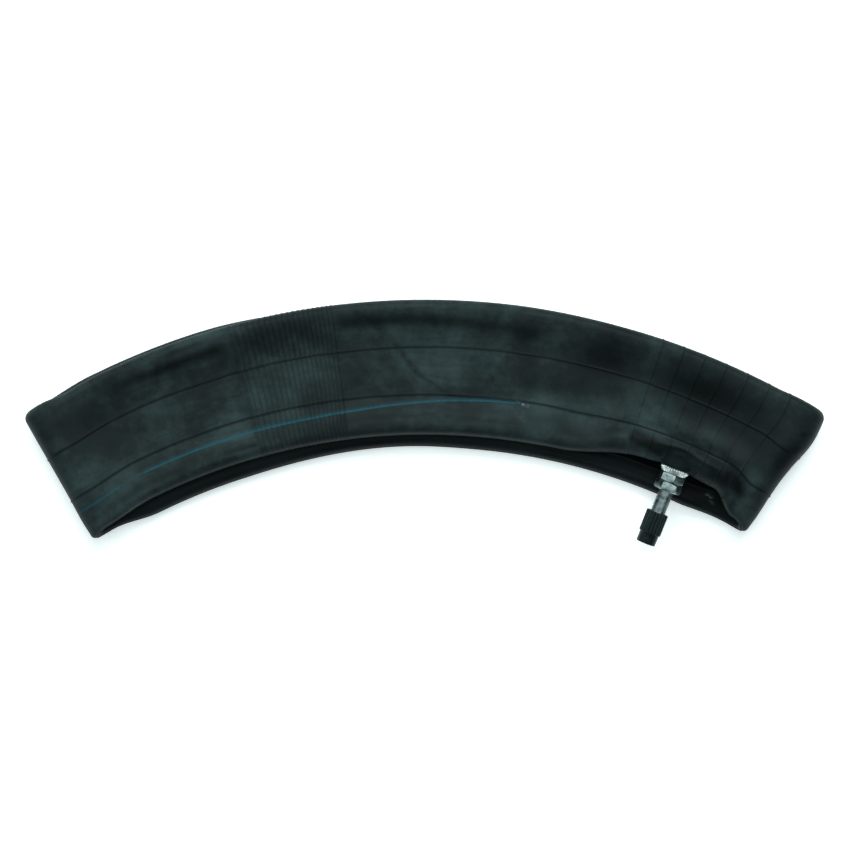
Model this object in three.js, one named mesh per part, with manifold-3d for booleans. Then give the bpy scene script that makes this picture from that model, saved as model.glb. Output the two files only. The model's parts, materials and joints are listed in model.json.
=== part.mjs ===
// Inner tube for a small motorcycle wheel, let down, pressed flat and folded in half.
// The tube lies in two layers, one on the other, each an arc of a flattened hose.
// A straight metal valve stands out of the inside edge of the upper layer.
// Units are millimetres, +X along the folded bundle, +Y towards its outside edge, +Z up.

import * as THREE from 'three';
import { mergeVertices } from 'three/addons/utils/BufferGeometryUtils.js';
import Module from 'manifold-3d';

const wasm = await Module();
wasm.setup();

// ---- arc of the folded bundle ----
const MID_RADIUS = 350.2; // arc radius along the middle of the upper layer
const HALF_WIDTH = 34.3; // half the width of the flattened tube
const LEFT_FOLD_DEG = -30.9; // fold lines, measured from straight up
const RIGHT_FOLD_DEG = 30.2;
const FOLD_RADIUS = 6.2; // radius of the turn at a fold, to the middle of the tube
const FOLD_LIFT_LENGTH = 45; // how far from a fold the upper layer starts to rise

// ---- cross section of the flattened tube ----
const WALL = 1.8; // rubber thickness
const EDGE_RADIUS = 4.5; // rounding along both edges
const MIDDLE_HALF = 2.2; // half the thickness where the walls nearly touch
const FLAT_HALF_OUTER = 10; // where the section starts to swell towards the outside edge
const FLAT_HALF_INNER = 12; // and towards the inside edge
const LAYER_GAP = 0.6; // air between the layers where the edges meet

// ---- how far the lower layer has slipped under the upper one ----
const LOWER_SLIP_LEFT = -3.2; // towards the arc's centre
const LOWER_SLIP_RIGHT = -6.6;
const LOWER_EXTRA_LEFT = 4.9; // extra half width of the lower layer at the left end
const FOLD_SLIP = -1.9; // at the folds themselves
const FOLD_EXTRA = 2.4;
const FOLD_REACH_DEG = 2.5; // over which the upper layer loses that extra width
const INNER_FOLD_REACH_DEG = 1.3; // the same on its inside edge
const LEFT_FOLD_SHEAR = 0.02; // how far a fold line leans, in mm per mm across the tube
const RIGHT_FOLD_SHEAR = 0.065;
const RIGHT_NARROWING = 0.5; // the upper layer is a little narrower to the right

// ---- valve seat in the upper layer ----
const VALVE_DEG = 23.16; // place of the valve along the arc
const SEAT_RADIUS = 323.0; // arc radius of the middle of the bridge washer
const VALVE_HEIGHT = 18.0; // height of the valve axis at the washer
const VALVE_PLAN_DEG = 21.5; // way the stem points, seen from above
const VALVE_DROOP_DEG = 4; // how far the stem leans down
const SEAT_EDGE_RADIUS = 8.2; // rounding of the tube's edge at the valve
const SEAT_DRAW_BACK = 7.6; // how far the edge is drawn back around the valve
const SEAT_DIMPLE = 2.1;
const SEAT_DIMPLE_REACH = 8.5; // further hollow right under the valve's rubber base
const SEAT_FROM_DEG = 12.6; // where the drawing back starts and is complete
const SEAT_FULL_FROM_DEG = 20.4;
const SEAT_FULL_TO_DEG = 27.2;
const SEAT_TO_DEG = 30.2;

// ---- valve, measured along its own axis from the middle of the washer ----
const STEM_RADIUS = 3.875;
const STEM_TIP = 33.2;
const STEM_FLAT = 3.25; // axis to each of the two milled flats
const STEM_FLAT_START = 1.8;
const STEM_BORE_THREAD = 2.66; // mouth, threaded for the core
const STEM_BORE_SEAT = 2.2; // below the tapered seat
const STEM_BORE_LOW = 1.6; // air passage down to the foot
const FOOT_RADIUS = 4.7;
const FOOT_END = -10.3;
const FOOT_FACE = -9.2; // where the foot starts to taper into the stem
const FOOT_TAPER = 1.6;
const BASE_RADIUS = 12.2; // round rubber base
const BASE_THICKNESS = 1.5;
const BASE_FACE = -1.7; // plane that the washer presses on
const BASE_BOSS_RADIUS = 8.1; // flat middle of the rubber base
const BASE_HOLE_RADIUS = 4.65;
const TUBE_HOLE_RADIUS = 4.1;
const WASHER_BACK = -1.5;
const WASHER_FRONT = 1.6;
const WASHER_BACK_RADIUS = 7.7;
const WASHER_FRONT_RADIUS = 6.4;
const WASHER_TEETH = 36;
const CLAMP_NUT_BACK = 1.9;
const CLAMP_NUT_FRONT = 6.0;
const CLAMP_NUT_FLATS = 12.0;
const CLAMP_NUT_TURN_DEG = 20; // from a face turned up
const RIM_NUT_BACK = 6.3;
const RIM_NUT_FRONT = 10.8;
const RIM_NUT_FLATS = 12.6;
const NUT_BORE_RADIUS = STEM_RADIUS + 0.08;
const CAP_MOUTH = 22.7;
const CAP_STEP = 34.0; // where the ribbed skirt ends
const CAP_END = 39.7;
const CAP_SKIRT_RADIUS = 5.7;
const CAP_TIP_RADIUS = 4.95;
const CAP_RIBS = 24;
const CAP_BORE_RADIUS = STEM_RADIUS + 0.09;
const CAP_SHOULDER = 35.1; // where the gasket sits
const CAP_ROOM_RADIUS = 3.0; // room for the core's pin
const CAP_ROOM_END = 38.2;
const GASKET_BACK = 33.5;
const GASKET_FRONT = 34.9;
const GASKET_HOLE_RADIUS = 2.75;

// ---- valve core, on the same axis ----
const PIN_RADIUS = 0.45;
const PIN_END = 32.9;
const PIN_START = 17.2;
const PLUG_RADIUS = 2.6;
const PLUG_BACK = 27.5;
const PLUG_FRONT = 32.5;
const PLUG_SLOT = 0.9; // half thickness of the bridge left between the two milled sides
const PLUG_SLOT_DEPTH = 2.4;
const BARREL_BACK = 20.6;
const BARREL_FRONT = 27.3;
const BARREL_RADIUS = 1.95;
const BARREL_BORE = 1.4;
const BARREL_FLOOR = 0.8;
const SEAL_BACK = 25.0;
const SEAL_FRONT = 26.6;
const POPPET_FRONT = 20.35;
const POPPET_BACK = 18.4;
const POPPET_RADIUS = 1.75;
const SPRING_RADIUS = 1.02;
const SPRING_WIRE = 0.16;
const SPRING_COILS = 6;
const SPRING_SEAT_BACK = 26.3;
const SPRING_SEAT_FRONT = 26.9;

const ROUND = 24; // facets around round pieces
const FINE_ROUND = 48; // facets around the ribbed cap and the toothed washer
const GAP = 0.1;

const rad = (deg) => (deg * Math.PI) / 180;
const mix = (a, b, t) => a + (b - a) * t;

// Rises smoothly from 0 at from to 1 at to.
function ease(from, to, x) {
  const t = Math.min(1, Math.max(0, (x - from) / (to - from)));
  return t * t * (3 - 2 * t);
}

// ---- materials ----
const rubber = () => new THREE.MeshStandardMaterial({ color: 0x232e2f, roughness: 0.62, metalness: 0 });
const baseRubber = () => new THREE.MeshStandardMaterial({ color: 0x1d2627, roughness: 0.7, metalness: 0 });
const platedSteel = () => new THREE.MeshStandardMaterial({ color: 0xc3cccc, roughness: 0.32, metalness: 1 });
const platedBrass = () => new THREE.MeshStandardMaterial({ color: 0xa9b2b1, roughness: 0.38, metalness: 1 });
const brass = () => new THREE.MeshStandardMaterial({ color: 0xb79a5b, roughness: 0.4, metalness: 1 });
const springSteel = () => new THREE.MeshStandardMaterial({ color: 0x9aa0a2, roughness: 0.35, metalness: 1 });
const blackPlastic = () => new THREE.MeshStandardMaterial({ color: 0x1a2223, roughness: 0.5, metalness: 0 });
const sealRubber = () => new THREE.MeshStandardMaterial({ color: 0x141819, roughness: 0.8, metalness: 0 });
const redSeal = () => new THREE.MeshStandardMaterial({ color: 0x7a2a22, roughness: 0.6, metalness: 0 });

// ---- joining and cutting ----
function toManifold(geometry) {
  const bare = geometry.clone();
  bare.deleteAttribute('normal');
  bare.deleteAttribute('uv');
  const merged = mergeVertices(bare, 1e-3);
  const mesh = new wasm.Mesh({
    numProp: 3,
    vertProperties: new Float32Array(merged.attributes.position.array),
    triVerts: new Uint32Array(merged.index.array),
  });
  return new wasm.Manifold(mesh);
}

function toGeometry(solid) {
  const mesh = solid.getMesh();
  const geometry = new THREE.BufferGeometry();
  geometry.setAttribute('position', new THREE.BufferAttribute(mesh.vertProperties, 3));
  geometry.setIndex(new THREE.BufferAttribute(mesh.triVerts, 1));
  return geometry;
}

// ---- the bundle's path ----
// A turn of the tube is followed from the left fold over the upper layer to the right fold
// and back along the lower layer. Each station gives where the section stands.
const LOWER_MID_HEIGHT = EDGE_RADIUS;
const UPPER_MID_HEIGHT = EDGE_RADIUS * 3 + LAYER_GAP;

// Height of the upper layer's middle, which rises towards both folds.
function upperHeight(deg) {
  const toFold = rad(Math.min(deg - LEFT_FOLD_DEG, RIGHT_FOLD_DEG - deg)) * MID_RADIUS;
  const rise = LOWER_MID_HEIGHT + 2 * FOLD_RADIUS - UPPER_MID_HEIGHT;
  return UPPER_MID_HEIGHT + rise * (1 - ease(0, FOLD_LIFT_LENGTH, toFold));
}

// How much of the valve seat's shape is present at an angle along the arc.
function seatAmount(deg) {
  return ease(SEAT_FROM_DEG, SEAT_FULL_FROM_DEG, deg) * (1 - ease(SEAT_FULL_TO_DEG, SEAT_TO_DEG, deg));
}

// How much sooner the inside edge loses the folds' extra width than the outside edge does.
function foldEdgeLead(deg) {
  const toFold = Math.min(deg - LEFT_FOLD_DEG, RIGHT_FOLD_DEG - deg);
  return FOLD_EXTRA * (ease(0, INNER_FOLD_REACH_DEG, toFold) - ease(0, FOLD_REACH_DEG, toFold));
}

// How far the section's inside edge is drawn back at an angle along the upper layer.
function seatDrawBack(deg) {
  const along = rad(deg - VALVE_DEG) * SEAT_RADIUS;
  const dimple = SEAT_DIMPLE * Math.exp(-((along / SEAT_DIMPLE_REACH) ** 2));
  return SEAT_DRAW_BACK * seatAmount(deg) + dimple + foldEdgeLead(deg);
}

// Slip of the upper layer where it runs into the folds.
function upperSlip(deg) {
  return FOLD_SLIP * (1 - ease(0, 5, deg - LEFT_FOLD_DEG)) +
    FOLD_SLIP * (1 - ease(0, 2.2, RIGHT_FOLD_DEG - deg));
}

function lowerSlip(deg) {
  const toFold = Math.min(deg - LEFT_FOLD_DEG, RIGHT_FOLD_DEG - deg);
  const slip = mix(LOWER_SLIP_LEFT, LOWER_SLIP_RIGHT, ease(-16, 6, deg));
  return mix(FOLD_SLIP, slip, ease(0, 5, toFold));
}

function lowerExtra(deg) {
  const wide = LOWER_EXTRA_LEFT * (1 - ease(-18, 1, deg));
  return mix(FOLD_EXTRA, wide, ease(0, 4.5, Math.min(deg - LEFT_FOLD_DEG, RIGHT_FOLD_DEG - deg)));
}

function upperExtra(deg) {
  const narrow = -RIGHT_NARROWING * ease(6, 16, deg);
  const toFold = Math.min(deg - LEFT_FOLD_DEG, RIGHT_FOLD_DEG - deg);
  return mix(FOLD_EXTRA, narrow, ease(0, FOLD_REACH_DEG, toFold));
}

// Lean of the fold lines, fading away from the folds.
function shearAt(deg) {
  return LEFT_FOLD_SHEAR * (1 - ease(0, 12, deg - LEFT_FOLD_DEG)) +
    RIGHT_FOLD_SHEAR * (1 - ease(0, 12, RIGHT_FOLD_DEG - deg));
}

// The section is as thick in its middle as along its edges at the folds.
function foldFullness(deg) {
  return 1 - ease(0, 5, Math.min(deg - LEFT_FOLD_DEG, RIGHT_FOLD_DEG - deg));
}

function upperStation(deg) {
  const amount = seatAmount(deg);
  return {
    deg,
    ahead: 0,
    height: upperHeight(deg),
    turn: 0,
    slip: upperSlip(deg),
    extra: upperExtra(deg),
    drawBack: seatDrawBack(deg),
    innerRadius: mix(EDGE_RADIUS, SEAT_EDGE_RADIUS, amount),
    lift: (VALVE_HEIGHT - UPPER_MID_HEIGHT) * amount,
    sink: -1,
    fullness: foldFullness(deg),
  };
}

function lowerStation(deg) {
  return {
    deg,
    ahead: 0,
    height: LOWER_MID_HEIGHT,
    turn: Math.PI,
    slip: lowerSlip(deg),
    extra: lowerExtra(deg),
    drawBack: 0,
    innerRadius: EDGE_RADIUS,
    lift: 0,
    sink: 1,
    fullness: foldFullness(deg),
  };
}

// side is 1 at the right fold and -1 at the left one; turn runs 0 to PI over the fold.
function foldStation(side, turn) {
  return {
    deg: side > 0 ? RIGHT_FOLD_DEG : LEFT_FOLD_DEG,
    ahead: side * FOLD_RADIUS * Math.sin(turn),
    height: LOWER_MID_HEIGHT + FOLD_RADIUS * (1 + Math.cos(turn)),
    turn: side * turn,
    slip: FOLD_SLIP,
    extra: FOLD_EXTRA,
    drawBack: 0,
    innerRadius: EDGE_RADIUS,
    lift: 0,
    sink: 0,
    fullness: 1,
  };
}

function pathStations() {
  const stations = [];
  const upperDegs = [
    ...spread(LEFT_FOLD_DEG, -29, 3),
    ...spread(-29, -26, 2),
    ...spread(-26, 11, 9),
    ...spread(11, 20, 6),
    ...spread(20, 26.4, 8),
    ...spread(26.4, RIGHT_FOLD_DEG, 8),
  ];
  upperDegs.forEach((deg) => stations.push(upperStation(deg)));
  const foldSteps = 8;
  for (let k = 0; k < foldSteps; k += 1) {
    stations.push(foldStation(1, (Math.PI * k) / foldSteps));
  }
  const lowerDegs = [
    ...spread(RIGHT_FOLD_DEG, 25, 3),
    ...spread(25, -26, 11),
    ...spread(-26, LEFT_FOLD_DEG, 3),
  ];
  lowerDegs.forEach((deg) => stations.push(lowerStation(deg)));
  for (let k = 0; k < foldSteps; k += 1) {
    stations.push(foldStation(-1, Math.PI * (1 - k / foldSteps)));
  }
  return stations;
}

// Evenly spread numbers from a up to, but not including, b.
function spread(a, b, steps) {
  return Array.from({ length: steps }, (_, k) => mix(a, b, k / steps));
}

// ---- cross section ----
// Points run around the section; across is measured along the arc's radius and
// out along the tube's own outward side. inset shrinks the outline by a wall's thickness.
function sectionPoints(station, inset, edgeSteps, sideSteps) {
  const { innerRadius, sink, lift, drawBack, extra } = station;
  const outerEnd = HALF_WIDTH + extra - EDGE_RADIUS;
  const innerEnd = HALF_WIDTH + extra - drawBack - innerRadius;
  const middleHalf = mix(MIDDLE_HALF, EDGE_RADIUS, station.fullness);
  const swellFrom = Math.min(FLAT_HALF_INNER, innerEnd * 0.4);
  const half = (b) => (b > 0
    ? mix(middleHalf, EDGE_RADIUS, ease(FLAT_HALF_OUTER, outerEnd, b))
    : mix(middleHalf, innerRadius, ease(swellFrom, innerEnd, -b)));
  const flat = (b) => (b > 0
    ? mix(middleHalf, EDGE_RADIUS, ease(FLAT_HALF_OUTER, outerEnd, b))
    : mix(middleHalf, EDGE_RADIUS, ease(swellFrom, innerEnd, -b)));
  const middle = (b) => sink * (EDGE_RADIUS - flat(b)) + lift * ease(-4, innerEnd, -b);
  const points = [];
  const edge = (centre, radius, from) => {
    for (let k = 0; k < edgeSteps; k += 1) {
      const angle = from + (Math.PI * k) / edgeSteps;
      const reach = radius - inset;
      points.push([centre + reach * Math.cos(angle), middle(centre) + reach * Math.sin(angle)]);
    }
  };
  edge(outerEnd, EDGE_RADIUS, -Math.PI / 2);
  spread(outerEnd, -innerEnd, sideSteps).forEach((b) => points.push([b, middle(b) + half(b) - inset]));
  edge(-innerEnd, innerRadius, Math.PI / 2);
  spread(-innerEnd, outerEnd, sideSteps).forEach((b) => points.push([b, middle(b) - half(b) + inset]));
  return points;
}

// Places a section point in space.
function placed(station, across, out) {
  const angle = rad(station.deg);
  const radius = MID_RADIUS + station.slip + across;
  const ahead = station.ahead + out * Math.sin(station.turn) + shearAt(station.deg) * across;
  const up = station.height + out * Math.cos(station.turn);
  return new THREE.Vector3(
    radius * Math.sin(angle) + ahead * Math.cos(angle),
    radius * Math.cos(angle) - ahead * Math.sin(angle),
    up,
  );
}

// A closed skin around the whole tube; inward turns its faces to look into the air space.
function skin(inset, edgeSteps, sideSteps, inward) {
  const rings = pathStations().map((station) => sectionPoints(station, inset, edgeSteps, sideSteps)
    .map(([across, out]) => placed(station, across, out)));
  const around = rings[0].length;
  const corner = (i, j) => rings[(i + rings.length) % rings.length][(j + around) % around];
  const triangles = [];
  for (let i = 0; i < rings.length; i += 1) {
    for (let j = 0; j < around; j += 1) {
      const quad = [corner(i, j), corner(i + 1, j), corner(i + 1, j + 1), corner(i, j + 1)];
      const order = inward ? [0, 1, 2, 0, 2, 3] : [0, 2, 1, 0, 3, 2];
      order.forEach((k) => triangles.push(quad[k]));
    }
  }
  return new THREE.BufferGeometry().setFromPoints(triangles);
}

// ---- the valve's place ----
function valveFrame() {
  const plan = rad(VALVE_PLAN_DEG);
  const droop = rad(VALVE_DROOP_DEG);
  const out = new THREE.Vector3(
    -Math.sin(plan) * Math.cos(droop),
    -Math.cos(plan) * Math.cos(droop),
    -Math.sin(droop),
  );
  const side = new THREE.Vector3(0, 0, 1).cross(out).normalize();
  const top = out.clone().cross(side);
  const seat = new THREE.Vector3(
    SEAT_RADIUS * Math.sin(rad(VALVE_DEG)),
    SEAT_RADIUS * Math.cos(rad(VALVE_DEG)),
    VALVE_HEIGHT,
  );
  return new THREE.Matrix4().makeBasis(side, top, out).setPosition(seat);
}

const VALVE = valveFrame();

// ---- round pieces, drawn as [radius, distance along the axis] ----
function lathe(profile, facets = ROUND) {
  const points = profile.map(([r, z]) => new THREE.Vector2(r, z));
  const geometry = new THREE.LatheGeometry(points, facets);
  geometry.rotateX(Math.PI / 2);
  geometry.rotateZ(Math.PI / facets);
  return geometry;
}

// A plain ring or sleeve between two radii.
const ring = (inner, outer, from, to, facets = ROUND) => lathe(
  [[inner, from], [outer, from], [outer, to], [inner, to], [inner, from]],
  facets,
);

const rod = (radius, from, to, facets = ROUND) => lathe(
  [[0, from], [radius, from], [radius, to], [0, to]],
  facets,
);

function block(x, y, z, cx, cy, cz) {
  const geometry = new THREE.BoxGeometry(x, y, z);
  geometry.translate(cx, cy, cz);
  return geometry;
}

// ---- pieces ----
function tubeGeometry() {
  const outside = toManifold(skin(0, 5, 7, false));
  const inside = toManifold(skin(WALL, 4, 5, false));
  const shell = outside.subtract(inside);
  const hole = rod(TUBE_HOLE_RADIUS, FOOT_FACE, 4);
  hole.applyMatrix4(VALVE);
  return toGeometry(shell.subtract(toManifold(hole)));
}

// The rounded edge of the upper layer near the valve; up is measured around the edge.
function seatSurface(along, up) {
  const deg = VALVE_DEG + (along / SEAT_RADIUS) * (180 / Math.PI);
  const station = upperStation(deg);
  const turn = up / station.innerRadius;
  const innerEnd = HALF_WIDTH + station.extra - station.drawBack - station.innerRadius;
  return placed(
    station,
    -innerEnd - station.innerRadius * Math.cos(turn),
    station.lift + station.innerRadius * Math.sin(turn),
  );
}

function seatNormal(along, up) {
  const step = 0.05;
  const a = seatSurface(along + step, up).sub(seatSurface(along - step, up));
  const b = seatSurface(along, up + step).sub(seatSurface(along, up - step));
  return b.cross(a).normalize();
}

// Round rubber base: a feather-edged disc wrapped over the tube's edge, thick and flat
// in the middle where the washer presses on it.
function baseGeometry() {
  const rings = 6;
  const facets = ROUND;
  const inverse = VALVE.clone().invert();
  const under = [];
  const over = [];
  for (let i = 0; i <= rings; i += 1) {
    const reach = mix(BASE_HOLE_RADIUS, BASE_RADIUS, i / rings);
    for (let k = 0; k < facets; k += 1) {
      const angle = (2 * Math.PI * k) / facets;
      const along = reach * Math.cos(angle);
      const up = reach * Math.sin(angle);
      const foot = seatSurface(along, up);
      const normal = seatNormal(along, up);
      const below = foot.clone().addScaledVector(normal, 0.25);
      const thin = BASE_THICKNESS * (1 - 0.6 * ease(0.8 * BASE_RADIUS, BASE_RADIUS, reach));
      const skinPoint = foot.clone().addScaledVector(normal, 0.25 + thin);
      const facePoint = below.clone().applyMatrix4(inverse);
      facePoint.z = BASE_FACE;
      facePoint.applyMatrix4(VALVE);
      const leave = ease(BASE_BOSS_RADIUS, BASE_RADIUS, reach);
      under.push(below);
      over.push(facePoint.lerp(skinPoint, leave));
    }
  }
  const triangles = [];
  const quad = (a, b, c, d) => triangles.push(a, b, c, a, c, d);
  const at = (list, i, k) => list[i * facets + (k % facets)];
  for (let k = 0; k < facets; k += 1) {
    for (let i = 0; i < rings; i += 1) {
      quad(at(over, i, k), at(over, i + 1, k), at(over, i + 1, k + 1), at(over, i, k + 1));
      quad(at(under, i, k), at(under, i, k + 1), at(under, i + 1, k + 1), at(under, i + 1, k));
    }
    quad(at(under, 0, k), at(over, 0, k), at(over, 0, k + 1), at(under, 0, k + 1));
    quad(at(over, rings, k), at(under, rings, k), at(under, rings, k + 1), at(over, rings, k + 1));
  }
  return new THREE.BufferGeometry().setFromPoints(triangles);
}

function stemGeometry() {
  const body = lathe([
    [STEM_BORE_LOW, FOOT_END],
    [FOOT_RADIUS, FOOT_END],
    [FOOT_RADIUS, FOOT_FACE],
    [STEM_RADIUS, FOOT_FACE + FOOT_TAPER],
    [STEM_RADIUS, STEM_TIP - 0.5],
    [STEM_RADIUS - 0.5, STEM_TIP],
    [STEM_BORE_THREAD, STEM_TIP],
    [STEM_BORE_THREAD, SEAL_FRONT + 0.5],
    [STEM_BORE_SEAT, SEAL_BACK],
    [STEM_BORE_SEAT, PIN_START - 2],
    [STEM_BORE_LOW, PIN_START - 3],
    [STEM_BORE_LOW, FOOT_END],
  ]);
  const length = STEM_TIP - STEM_FLAT_START + 1;
  const middle = STEM_FLAT_START + length / 2;
  const thick = 4;
  const flatAt = STEM_FLAT + thick / 2;
  return toGeometry(toManifold(body)
    .subtract(toManifold(block(12, thick, length, 0, flatAt, middle)))
    .subtract(toManifold(block(12, thick, length, 0, -flatAt, middle))));
}

// Cupped washer with a toothed rim on the side that grips the rubber.
function washerGeometry() {
  const wall = 1.1;
  const cup = lathe([
    [NUT_BORE_RADIUS, WASHER_FRONT - wall],
    [WASHER_FRONT_RADIUS - wall, WASHER_FRONT - wall],
    [WASHER_BACK_RADIUS - wall, WASHER_BACK],
    [WASHER_BACK_RADIUS, WASHER_BACK],
    [WASHER_BACK_RADIUS, WASHER_BACK + 0.8],
    [WASHER_FRONT_RADIUS, WASHER_FRONT],
    [NUT_BORE_RADIUS, WASHER_FRONT],
    [NUT_BORE_RADIUS, WASHER_FRONT - wall],
  ], WASHER_TEETH);
  return cup;
}

// Hexagonal nut; turnDeg is measured from a face turned up. Corners are chamfered.
function nutGeometry(flats, from, to, turnDeg, chamferBack) {
  const shape = new THREE.Shape();
  const corner = flats / Math.sqrt(3);
  for (let k = 0; k < 6; k += 1) {
    const angle = rad(60 * k + turnDeg);
    const move = k === 0 ? 'moveTo' : 'lineTo';
    shape[move](corner * Math.cos(angle), corner * Math.sin(angle));
  }
  shape.closePath();
  const prism = new THREE.ExtrudeGeometry(shape, { depth: to - from, bevelEnabled: false });
  prism.translate(0, 0, from);
  const drop = 0.7;
  const back = chamferBack ? drop : 0;
  const envelope = lathe([
    [0, from],
    [chamferBack ? flats / 2 : corner + 0.1, from],
    [corner + 0.1, from + back],
    [corner + 0.1, to - drop],
    [flats / 2, to],
    [0, to],
  ], 36);
  const bore = rod(NUT_BORE_RADIUS, from - 1, to + 1);
  return toGeometry(toManifold(prism).intersect(toManifold(envelope)).subtract(toManifold(bore)));
}

// Screw cap: ribbed skirt, smooth tip, bore for the stem and a room for the pin.
function capGeometry() {
  const profile = [
    [CAP_BORE_RADIUS, CAP_MOUTH],
    [CAP_SKIRT_RADIUS - 0.25, CAP_MOUTH],
    [CAP_SKIRT_RADIUS, CAP_MOUTH + 0.3],
    [CAP_SKIRT_RADIUS, CAP_STEP],
    [CAP_TIP_RADIUS + 0.1, CAP_STEP + 0.1],
    [CAP_TIP_RADIUS, CAP_END - 0.4],
    [CAP_TIP_RADIUS - 0.4, CAP_END],
    [0, CAP_END],
    [0, CAP_ROOM_END],
    [CAP_ROOM_RADIUS, CAP_ROOM_END],
    [CAP_ROOM_RADIUS, CAP_SHOULDER],
    [CAP_BORE_RADIUS, CAP_SHOULDER],
    [CAP_BORE_RADIUS, CAP_MOUTH],
  ];
  const cap = lathe(profile, CAP_RIBS * 2);
  const place = cap.attributes.position;
  for (let i = 0; i < place.count; i += 1) {
    const reach = Math.hypot(place.getX(i), place.getY(i));
    const onSkirt = reach > CAP_TIP_RADIUS + 0.3 && place.getZ(i) <= CAP_STEP + 0.01;
    const angle = Math.atan2(place.getY(i), place.getX(i));
    const step = Math.round(angle / (Math.PI / CAP_RIBS) - 0.5);
    if (onSkirt && Math.abs(step) % 2 === 1) {
      const scale = (reach - 0.25) / reach;
      place.setXY(i, place.getX(i) * scale, place.getY(i) * scale);
    }
  }
  return cap;
}

const gasketGeometry = () => ring(GASKET_HOLE_RADIUS, STEM_RADIUS - 0.1, GASKET_BACK, GASKET_FRONT);

// Threaded plug of the core, milled on two sides to leave a bridge for the core tool.
function plugGeometry() {
  const body = ring(PIN_RADIUS + GAP, PLUG_RADIUS, PLUG_BACK, PLUG_FRONT);
  const width = PLUG_RADIUS;
  const middle = PLUG_FRONT - PLUG_SLOT_DEPTH / 2 + 0.5;
  const cutter = (side) => toManifold(
    block(8, width, PLUG_SLOT_DEPTH + 1, 0, side * (PLUG_SLOT + width / 2), middle),
  );
  return toGeometry(toManifold(body).subtract(cutter(1)).subtract(cutter(-1)));
}

const barrelGeometry = () => lathe([
  [PIN_RADIUS + GAP, BARREL_BACK],
  [BARREL_RADIUS - 0.25, BARREL_BACK],
  [BARREL_RADIUS - 0.25, SEAL_BACK - 0.1],
  [BARREL_RADIUS - 0.4, SEAL_BACK],
  [BARREL_RADIUS - 0.4, SEAL_FRONT],
  [BARREL_RADIUS, SEAL_FRONT + GAP],
  [BARREL_RADIUS, BARREL_FRONT],
  [BARREL_BORE, BARREL_FRONT],
  [BARREL_BORE, BARREL_BACK + BARREL_FLOOR],
  [PIN_RADIUS + GAP, BARREL_BACK + BARREL_FLOOR],
  [PIN_RADIUS + GAP, BARREL_BACK],
]);

const barrelSealGeometry = () => lathe([
  [BARREL_RADIUS - 0.32, SEAL_BACK + 0.1],
  [STEM_BORE_SEAT - 0.08, SEAL_BACK + 0.1],
  [STEM_BORE_SEAT + 0.18, SEAL_FRONT - 0.1],
  [BARREL_RADIUS - 0.32, SEAL_FRONT - 0.1],
  [BARREL_RADIUS - 0.32, SEAL_BACK + 0.1],
]);

const pinGeometry = () => rod(PIN_RADIUS, PIN_START, PIN_END, 12);

const poppetCupGeometry = () => lathe([
  [PIN_RADIUS + 0.06, POPPET_BACK],
  [POPPET_RADIUS, POPPET_BACK],
  [POPPET_RADIUS, POPPET_FRONT - 0.2],
  [POPPET_RADIUS - 0.25, POPPET_FRONT - 0.2],
  [POPPET_RADIUS - 0.25, POPPET_BACK + 0.7],
  [PIN_RADIUS + 0.06, POPPET_BACK + 0.7],
  [PIN_RADIUS + 0.06, POPPET_BACK],
]);

const poppetSealGeometry = () => ring(
  PIN_RADIUS + 0.06,
  POPPET_RADIUS - 0.33,
  POPPET_BACK + 0.78,
  POPPET_FRONT,
);

const springSeatGeometry = () => ring(PIN_RADIUS + 0.06, 1.3, SPRING_SEAT_BACK, SPRING_SEAT_FRONT, 16);

class Coil extends THREE.Curve {
  constructor(radius, from, to, turns) {
    super();
    Object.assign(this, { radius, from, to, turns });
  }

  getPoint(t) {
    const angle = 2 * Math.PI * this.turns * t;
    return new THREE.Vector3(
      this.radius * Math.cos(angle),
      this.radius * Math.sin(angle),
      mix(this.from, this.to, t),
    );
  }
}

function springGeometry() {
  const wire = new THREE.Shape();
  wire.absarc(0, 0, SPRING_WIRE, 0, 2 * Math.PI);
  const from = BARREL_BACK + BARREL_FLOOR + SPRING_WIRE + 0.06;
  const to = SPRING_SEAT_BACK - SPRING_WIRE - 0.06;
  const path = new Coil(SPRING_RADIUS, from, to, SPRING_COILS);
  return new THREE.ExtrudeGeometry(wire, {
    steps: SPRING_COILS * 10,
    curveSegments: 4,
    extrudePath: path,
    bevelEnabled: false,
  });
}

// ---- assembly ----
const bundle = new THREE.Group();

function add(name, geometry, material, onValve = true) {
  if (onValve) geometry.applyMatrix4(VALVE);
  const mesh = new THREE.Mesh(geometry, material);
  mesh.name = name;
  bundle.add(mesh);
}

add('tube', tubeGeometry(), rubber(), false);
add('valve_base', baseGeometry(), baseRubber(), false);
add('valve_stem', stemGeometry(), platedBrass());
add('bridge_washer', washerGeometry(), platedSteel());
add('clamp_nut', nutGeometry(CLAMP_NUT_FLATS, CLAMP_NUT_BACK, CLAMP_NUT_FRONT, CLAMP_NUT_TURN_DEG, false), platedSteel());
add('rim_nut', nutGeometry(RIM_NUT_FLATS, RIM_NUT_BACK, RIM_NUT_FRONT, 0, true), platedSteel());
add('valve_cap', capGeometry(), blackPlastic());
add('cap_gasket', gasketGeometry(), sealRubber());
add('core_plug', plugGeometry(), brass());
add('core_barrel', barrelGeometry(), brass());
add('barrel_seal', barrelSealGeometry(), redSeal());
add('core_pin', pinGeometry(), brass());
add('poppet_cup', poppetCupGeometry(), brass());
add('poppet_seal', poppetSealGeometry(), sealRubber());
add('core_spring', springGeometry(), springSteel());
add('spring_seat', springSeatGeometry(), brass());

// Stand the bundle on the floor with its box centred over the origin.
const box = new THREE.Box3().setFromObject(bundle);
const centre = box.getCenter(new THREE.Vector3());
bundle.children.forEach((mesh) => mesh.geometry.translate(-centre.x, -centre.y, -box.min.z));

export default bundle;
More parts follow.
